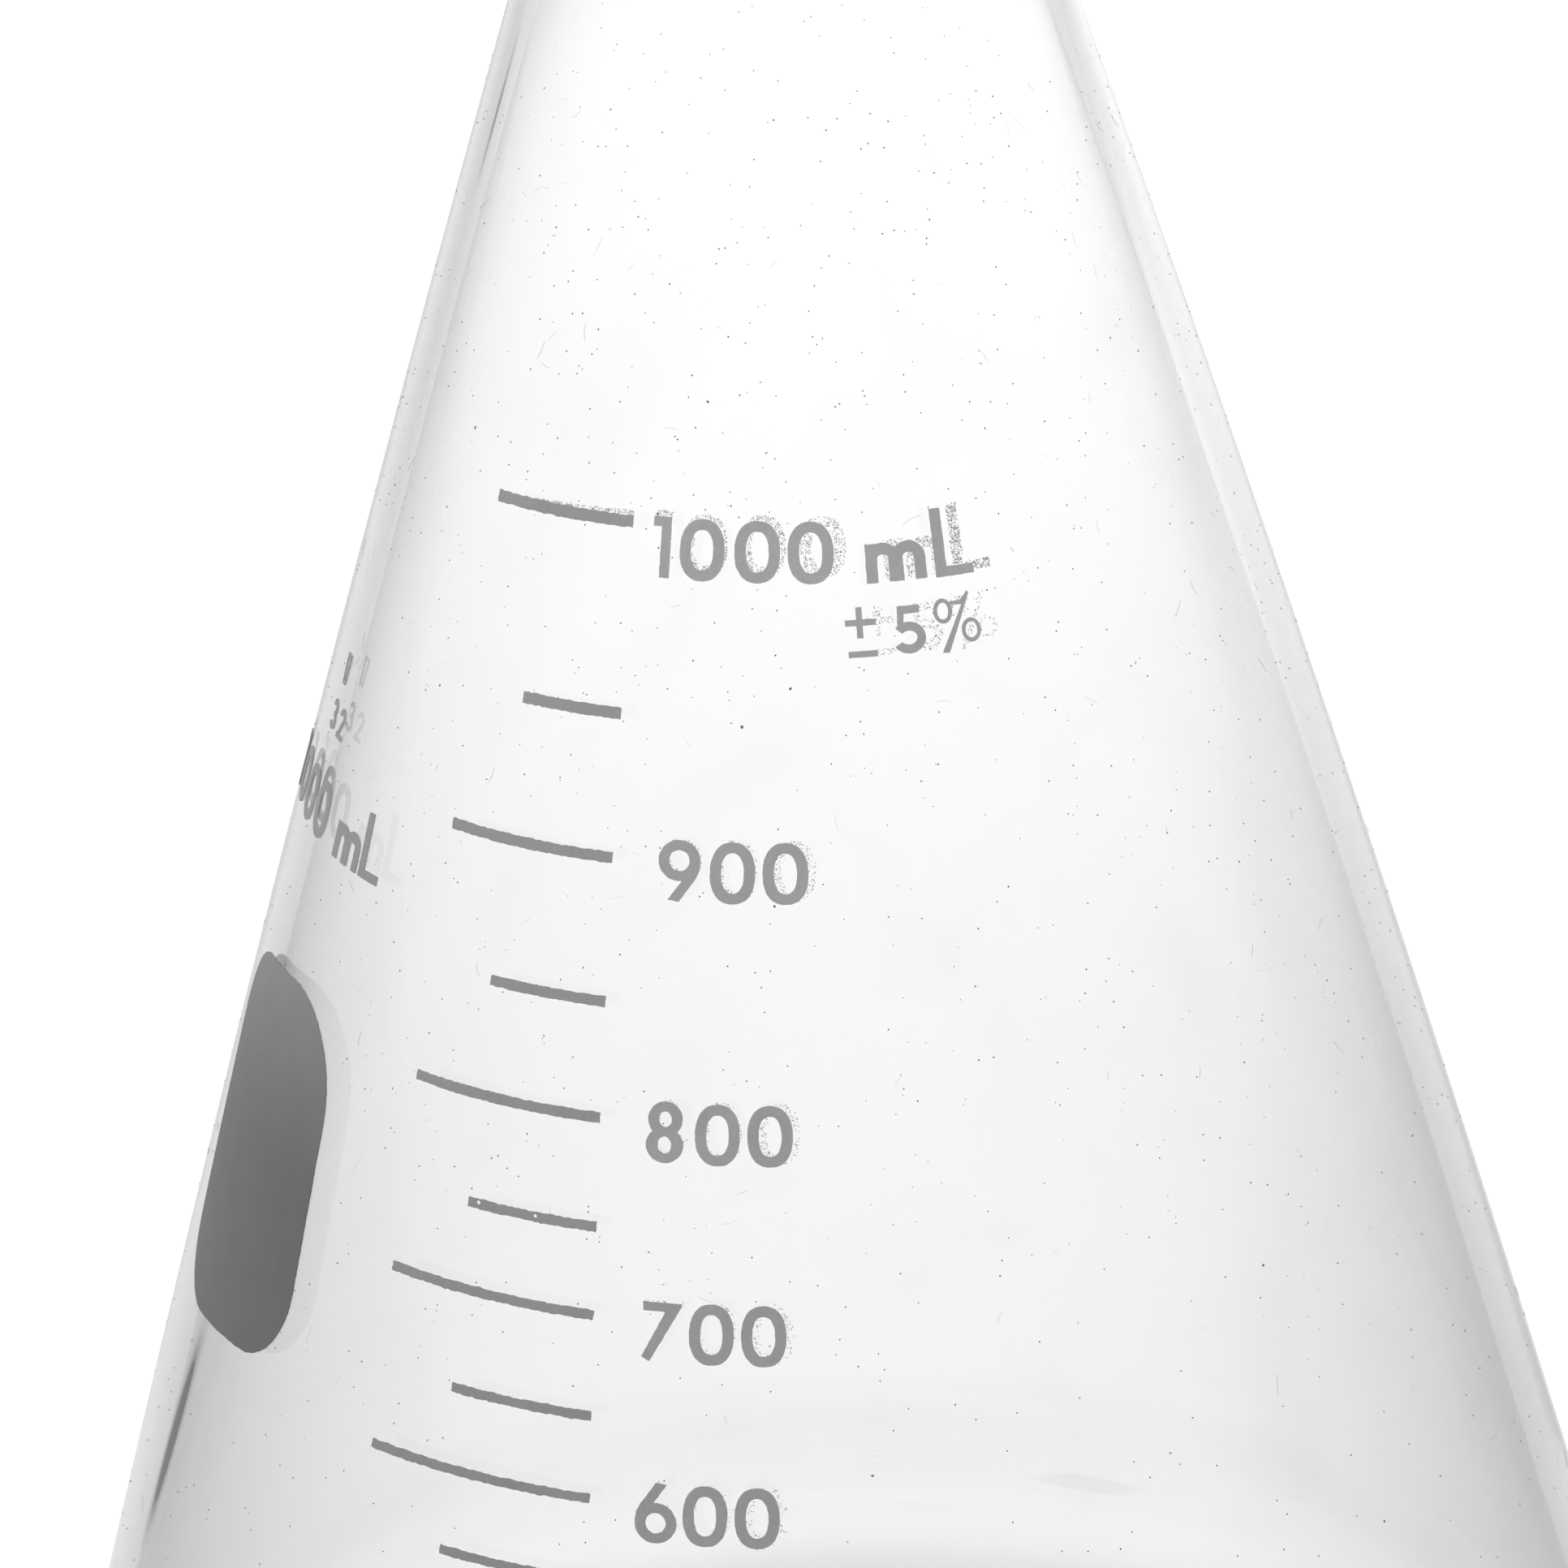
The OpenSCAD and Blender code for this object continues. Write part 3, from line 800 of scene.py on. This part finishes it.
def print_film(name, parts, material, wear=0.035, step=0.16, pitch=0.5, seed=1.0):
    """A printed piece on the flask. parts is a list of (strokes, place)."""
    built = []
    for k, (strokes, place) in enumerate(parts):
        rough = [(worn(outline, step, wear, seed + k),
                  [worn(hole, step, wear, seed + k) for hole in holes])
                 for outline, holes in strokes]
        points, tris = film_mesh(rough, pitch)
        built.append((points, tris, place))
    vertices, faces = wrap(built)
    obj = add_object(name, vertices, faces, [material], sharp=FILM_SHARP)
    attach(obj, "flask")
    return obj


# ---- The lines of the scale ----

# Pinholes in one line: the place of each and its half width and half height.
CHIPPED_ML = 750
CHIPS = ((0.95, 0.48, 0.15, 0.16), (5.95, 0.45, 0.19, 0.15))
LINE_WEAR = 0.085


def line_artwork(ml):
    """A line's strokes, with u from its outer end and v from its lower edge, and its place."""
    arc_deg = TOP_ARC if ml == TOP_ML else LONG_ARC if is_long(ml) else SHORT_ARC
    z = line_z(ml)
    length, width = math.radians(arc_deg) * flank_r(z), line_w(z)
    chips = [oval(*chip, count=9) for chip in CHIPS] if ml == CHIPPED_ML else []
    low = z - width * math.cos(flank_lean(z)) / 2
    place = artwork(line_angle(z) - arc_deg, low, width / 2)
    return [([(0, 0), (length, 0), (length, width), (0, width)], chips)], place


for ml in range(TOP_ML, LOW_ML - 1, -STEP_ML):
    strokes, place = line_artwork(ml)
    line = print_film(f"line_{ml}", [(strokes, place)], enamel, wear=LINE_WEAR, seed=ml / 10)
    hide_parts(f"mark_{ml}")


# ---- The numerals ----

# Lettering is drawn a little larger than it is printed.
PRINT_SCALE = 0.952
NUMERAL_GAP = 3.67
DIGIT_PITCH = 4.06
FIRST_GAP = {3: 0.7, 4: 0.5, 5: 0.65, 6: 0.5, 7: 0.6, 8: 0.9, 9: 0.76}
# How far up a numeral its line stands, as a share of its height.
LINE_SHARE = 0.62
# How far some numerals are printed out of place, to the right and up.
NUMERAL_SHIFTS = {900: (-0.05, 0.05), 700: (0.17, -0.11), 600: (-0.09, 0.05)}


def numeral_place(ml):
    z = line_z(ml)
    right, up = NUMERAL_SHIFTS.get(ml, (0.0, 0.0))
    base = z - LINE_SHARE * DIGIT_H * PRINT_SCALE * math.cos(flank_lean(z)) + up
    start = line_angle(z) + math.degrees((NUMERAL_GAP + right) / flank_r(z))
    return artwork(start, base, scale=PRINT_SCALE)


def numeral_strokes(ml):
    digit = ml // 100
    first = DIGIT_W[digit] + FIRST_GAP[digit]
    return DIGITS[digit], moved(ZERO, first, 0), moved(ZERO, first + DIGIT_PITCH, 0)


for ml in range(900, LOW_ML - 1, -100):
    place = numeral_place(ml)
    parts = [(strokes, place) for strokes in numeral_strokes(ml)]
    print_film(f"numeral_{ml}", parts, numeral_enamel, seed=ml / 7)

TITLE_ANGLE, TITLE_Z = -21.0, 127.8
title_place = artwork(TITLE_ANGLE, TITLE_Z, scale=PRINT_SCALE)
title = [moved(ONE, -0.05, 0.25), moved(ZERO, 2.15, 0.17), moved(ZERO, 6.41, 0.13),
         moved(ZERO, 10.46, 0.0), moved(LETTER_M, 16.3, -0.21), moved(LETTER_L, 21.57, -0.31)]
print_film("numeral_1000", [(strokes, title_place) for strokes in title], numeral_enamel,
           seed=11.0)

TOLERANCE_ANGLE, TOLERANCE_Z = 3.9, 122.4
tolerance_place = artwork(TOLERANCE_ANGLE, TOLERANCE_Z, 1.8, PRINT_SCALE)
tolerance = [moved(PLUS, 0.0, 1.64), moved(MINUS, 0.15, 0.19), moved(SMALL_FIVE, 3.8, 0.16),
             moved(PER_CENT, 6.9, -0.16)]
print_film("tolerance", [(strokes, tolerance_place) for strokes in tolerance], numeral_enamel,
           wear=0.02, seed=12.0)


# ---- The print on the side: the volume again, and the size of the taper ----

SIDE_ANGLE = -70.0
side_place = artwork(SIDE_ANGLE, 101.55, scale=PRINT_SCALE)
side = [moved(ONE, -14.4, 0), moved(ZERO, -11.6, 0), moved(ZERO, -7.45, 0),
        moved(ZERO, -3.36, 0), moved(LETTER_M, 2.63, 0), moved(LETTER_L, 7.56, 0)]
print_film("side_volume", [(strokes, side_place) for strokes in side], enamel, seed=13.0)

size_place = artwork(SIDE_ANGLE, 109.1, 1.2, 0.51)
print_film("taper_size", [(moved(THREE, -9.4, 0), size_place), (moved(TWO, -4.75, 0), size_place)],
           enamel, wear=0.02, seed=14.0)

sign_place = artwork(SIDE_ANGLE, 112.8, 1.2)
taper_sign = [([(-3.85, 0.0), (-3.05, 0.0), (-2.9, 2.4), (-4.0, 2.4)],
               [[(-3.62, 0.28), (-3.28, 0.28), (-3.17, 2.12), (-3.73, 2.12)]])]
print_film("taper_sign", [(taper_sign, sign_place)], enamel, wear=0.02, step=0.12, seed=15.0)


# ---- Specks of a second, thin print beside the first, where the screen slipped ----

SPECK_AREA = 0.006
SPECK_LOW_R, SPECK_HIGH_R = 0.025, 0.065
SPECK_T = 0.03


def speck(rng, u, v, low_r, high_r):
    """A small patch with five uneven corners."""
    turn_by = rng.uniform(0, 72)
    corners = []
    for k in range(5):
        a = math.radians(turn_by + 72 * k)
        r = rng.uniform(low_r, high_r)
        corners.append((u + r * math.cos(a), v + r * math.sin(a)))
    return corners


def speckled(rng, strokes, clear_of, share):
    """Specks over a share of some strokes, where they are clear of the first print."""
    outline = [p for stroke, _ in strokes for p in stroke]
    low_u, high_u = min(u for u, _ in outline), max(u for u, _ in outline)
    low_v, high_v = min(v for _, v in outline), max(v for _, v in outline)
    tries = int((high_u - low_u) * (high_v - low_v) * share / SPECK_AREA)
    found = []
    for _ in range(tries):
        u, v = rng.uniform(low_u, high_u), rng.uniform(low_v, high_v)
        corners = speck(rng, u, v, SPECK_LOW_R, SPECK_HIGH_R)
        if inked(u, v, strokes) and not any(inked(cu, cv, clear_of) for cu, cv in corners):
            found.append(corners)
    return found


def add_specks(name, groups, material):
    """One object of loose patches. groups is a list of (patches, place)."""
    parts = [(corners, [tuple(range(len(corners)))], place)
             for patches, place in groups for corners in patches]
    vertices, faces = wrap(parts, thickness=SPECK_T)
    obj = add_object(name, vertices, faces, [material], sharp=FILM_SHARP)
    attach(obj, "flask")


rng = random.Random(SEED)
everything = [stroke for glyph in title for stroke in glyph]
# How far each glyph of the title has slipped to the right and up, and the share that printed.
TITLE_SLIPS = [(0.05, 0.45, 0.5), (0.22, 0.38, 0.4), (0.42, 0.42, 0.42), (0.95, 0.42, 0.3),
               (1.4, 0.2, 0.4), (1.4, 0.2, 0.65)]
TOLERANCE_SLIP, TOLERANCE_SHARE = (1.35, 0.05), 0.22
title_specks = []
for glyph, (du, dv, share) in zip(title, TITLE_SLIPS):
    title_specks += speckled(rng, moved(glyph, du, dv), everything, share)
everything = [stroke for glyph in tolerance for stroke in glyph]
tolerance_specks = []
for glyph in tolerance:
    tolerance_specks += speckled(rng, moved(glyph, *TOLERANCE_SLIP), everything, TOLERANCE_SHARE)
add_specks("title_specks", [(title_specks, title_place), (tolerance_specks, tolerance_place)],
           thin_enamel)

# The share of each numeral's second print, and how far its three digits have slipped.
NUMERAL_SHARES = {900: 0.2, 800: 0.16, 700: 0.1, 600: 0.08}
DIGIT_SLIPS = ((0.1, 0.14), (0.18, 0.14), (0.6, 0.14))
numeral_specks = []
for ml, share in NUMERAL_SHARES.items():
    glyphs = numeral_strokes(ml)
    everything = [stroke for glyph in glyphs for stroke in glyph]
    patches = []
    for glyph, (du, dv) in zip(glyphs, DIGIT_SLIPS):
        patches += speckled(rng, moved(glyph, du, dv), everything, share)
    numeral_specks.append((patches, numeral_place(ml)))
add_specks("numeral_specks", numeral_specks, thin_enamel)

# The top line's second print shows over it, more and more towards its right-hand end.
TOP_GHOST_START, TOP_GHOST_UP, TOP_GHOST_SHARE = 0.15, 0.4, 0.5
top_line, top_line_place = line_artwork(TOP_ML)
length, width = top_line[0][0][2]
start = TOP_GHOST_START * length
ghost = [([(start, 0), (length, TOP_GHOST_UP), (length, width + TOP_GHOST_UP), (start, width)],
          [])]
top_line_specks = speckled(rng, ghost, top_line, TOP_GHOST_SHARE)
add_specks("top_line_specks", [(top_line_specks, top_line_place)], thin_enamel)


# ---- Dust and hair scratches on the glass ----

DUST_COUNT, SCRATCH_COUNT = 1700, 130
DUST_LOW_R, DUST_HIGH_R = 0.045, 0.085
# A few larger specks, all on the front.
LARGE_SPECK_COUNT = 10
LARGE_SPECK_LOW_R, LARGE_SPECK_HIGH_R = 0.08, 0.16
LARGE_SPECK_ANGLE, LARGE_SPECK_LOW_Z, LARGE_SPECK_HIGH_Z = 60, 50, 155
# Heights between which the dust and the scratches lie.
MARKS_LOW_Z, MARKS_HIGH_Z = 24, 160
SCRATCH_HALF_W = 0.01
SCRATCH_POINTS = 7
SCRATCH_BEND = 70
SCRATCH_SHORT, SCRATCH_LONG = 0.5, 1.8


def scratch(rng, u, v):
    """A thin curved stroke."""
    heading = rng.uniform(0, 360)
    bend = rng.uniform(-SCRATCH_BEND, SCRATCH_BEND)
    length = rng.uniform(SCRATCH_SHORT, SCRATCH_LONG)
    left, right = [], []
    last = SCRATCH_POINTS - 1
    for i in range(SCRATCH_POINTS):
        a = math.radians(heading + bend * i / last)
        half = SCRATCH_HALF_W * math.sin(math.pi * (i + 0.5) / SCRATCH_POINTS)
        left.append((u - half * math.sin(a), v + half * math.cos(a)))
        right.append((u + half * math.sin(a), v - half * math.cos(a)))
        u += length / last * math.cos(a)
        v += length / last * math.sin(a)
    return right + left[::-1]


def anywhere():
    """A place for a mark on the flank."""
    return artwork(rng.uniform(-180, 180), rng.uniform(MARKS_LOW_Z, MARKS_HIGH_Z))


dust = [([speck(rng, 0, 0, LARGE_SPECK_LOW_R, LARGE_SPECK_HIGH_R)],
         artwork(rng.uniform(-LARGE_SPECK_ANGLE, LARGE_SPECK_ANGLE),
                 rng.uniform(LARGE_SPECK_LOW_Z, LARGE_SPECK_HIGH_Z)))
        for _ in range(LARGE_SPECK_COUNT)]
dust += [([speck(rng, 0, 0, DUST_LOW_R, DUST_HIGH_R)], anywhere()) for _ in range(DUST_COUNT)]
add_specks("dust", dust, dust_grey)
scratches = [([scratch(rng, 0, 0)], anywhere()) for _ in range(SCRATCH_COUNT)]
add_specks("scratches", scratches, wear_grey)


# ---- The marking spot ----

SPOT_CORNER_STEPS = 12


def spot_outline():
    """The marking spot: a leaning rectangle with rounded corners, one of them rounder."""
    half_w, half_h = SPOT_W / 2, SPOT_H / 2
    points = []
    for k, (su, sv) in enumerate(((1, 1), (-1, 1), (-1, -1), (1, -1))):
        r = SPOT_CORNER_R if k else SPOT_TOP_CORNER_R
        for i in range(SPOT_CORNER_STEPS + 1):
            a = math.radians(90 * k + 90 * i / SPOT_CORNER_STEPS)
            points.append((su * (half_w - r) + r * math.cos(a),
                           sv * (half_h - r) + r * math.sin(a)))
    tilt = Matrix.Rotation(math.radians(SPOT_TILT), 2)
    return [tuple(tilt @ Vector(p)) for p in points]


def spot_place(u, v):
    """The spot is laid straight on to the flank, along the direction of its middle."""
    z = SPOT_Z + v
    return SPOT_ANGLE + math.degrees(math.asin(u / flank_r(z))), z


spot = print_film("spot", [([(spot_outline(), [])], spot_place)], spot_enamel,
                  wear=0.06, step=0.3, pitch=0.9, seed=21.0)
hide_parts("marking_spot")


# ---- The floor, light and camera ----

FLOOR_GREY = 0.5
# How strongly the floor glows where it is seen through the glass or mirrored in it, and where
# the camera sees it straight on. It is the same all over the floor.
FLOOR_GLOW, FLOOR_WHITE = 0.405, 0.6


def floor_material():
    """A plain floor: what the camera sees of it is white, and shade stays on it."""
    material, nodes, links, output = new_material("floor")
    matt = nodes.new("ShaderNodeBsdfDiffuse")
    matt.inputs["Color"].default_value = (FLOOR_GREY, FLOOR_GREY, FLOOR_GREY, 1.0)
    path = nodes.new("ShaderNodeLightPath")
    white = add_math(nodes, links, "MULTIPLY", path.outputs["Is Camera Ray"], FLOOR_WHITE)
    level = add_math(nodes, links, "MAXIMUM", white, FLOOR_GLOW)
    seen = add_math(nodes, links, "SUBTRACT", 1.0, path.outputs["Is Diffuse Ray"])
    glow = nodes.new("ShaderNodeEmission")
    links.new(add_math(nodes, links, "MULTIPLY", level, seen), glow.inputs["Strength"])
    both = nodes.new("ShaderNodeAddShader")
    links.new(matt.outputs["BSDF"], both.inputs[0])
    links.new(glow.outputs["Emission"], both.inputs[1])
    links.new(both.outputs["Shader"], output.inputs["Surface"])
    return material


FLOOR_HALF = 3000.0
floor_corners = [(x * FLOOR_HALF, y * FLOOR_HALF, 0)
                 for x, y in ((-1, -1), (1, -1), (1, 1), (-1, 1))]
floor = add_object("floor", floor_corners, [(0, 1, 2, 3)], [floor_material()])

scene = bpy.context.scene
# The world is white, and a little weaker as a light.
WORLD_LIGHT = 0.9
world = bpy.data.worlds.new("studio")
world.use_nodes = True
world_nodes, world_links = world.node_tree.nodes, world.node_tree.links
background = world_nodes["Background"]
background.inputs["Color"].default_value = (1.0, 1.0, 1.0, 1.0)
world_path = world_nodes.new("ShaderNodeLightPath")
sky = add_range(world_nodes, world_links, world_path.outputs["Is Diffuse Ray"],
                (0.0, 1.0), (1.0, WORLD_LIGHT))
world_links.new(sky, background.inputs["Strength"])
scene.world = world


def soft_lamp(name, place, aim, size, power):
    """A square lamp that isn't seen in the glass. Places and its size are in metres."""
    lamp = bpy.data.lights.new(name, "AREA")
    lamp.size = size
    lamp.energy = power
    obj = bpy.data.objects.new(name, lamp)
    obj.location = place
    obj.rotation_euler = (Vector(aim) - Vector(place)).to_track_quat("-Z", "Y").to_euler()
    obj.visible_glossy = False
    obj.visible_transmission = False
    scene.collection.objects.link(obj)


soft_lamp("key", (-0.7, -0.6, 0.9), (0.0, 0.0, 0.1), 0.8, 1.2)
# Low behind and to the right, it lights the floor that is seen through the glass.
soft_lamp("back", (0.4, 0.8, 0.5), (0.33, 0.6, 0.0), 0.6, 3.2)

# The camera was fitted to the flank and the lines of the scale. Distances in metres.
CAMERA_BACK, CAMERA_UP = 0.479024, 0.289338
CAMERA_PITCH, CAMERA_YAW, CAMERA_ROLL = 0.3773, -0.0058, -0.0393
FOCAL_PX, FRAME_PX = 8108.13, 1932
SENSOR = 36.0

camera = bpy.data.cameras.new("camera")
camera.sensor_width = SENSOR
camera.lens = SENSOR * FOCAL_PX / FRAME_PX
camera.clip_start = 0.01
camera_object = bpy.data.objects.new("camera", camera)
to_camera = (Matrix.Rotation(CAMERA_ROLL, 3, "Z") @ Matrix.Rotation(CAMERA_PITCH, 3, "X")
             @ Matrix(((1, 0, 0), (0, 0, -1), (0, 1, 0))) @ Matrix.Rotation(CAMERA_YAW, 3, "Z"))
facing = to_camera.transposed() @ Matrix.Diagonal((1, -1, -1))
camera_object.matrix_world = (Matrix.Translation((0, -CAMERA_BACK, CAMERA_UP))
                              @ facing.to_4x4())
scene.collection.objects.link(camera_object)
scene.camera = camera_object
scene.view_settings.view_transform = "Standard"
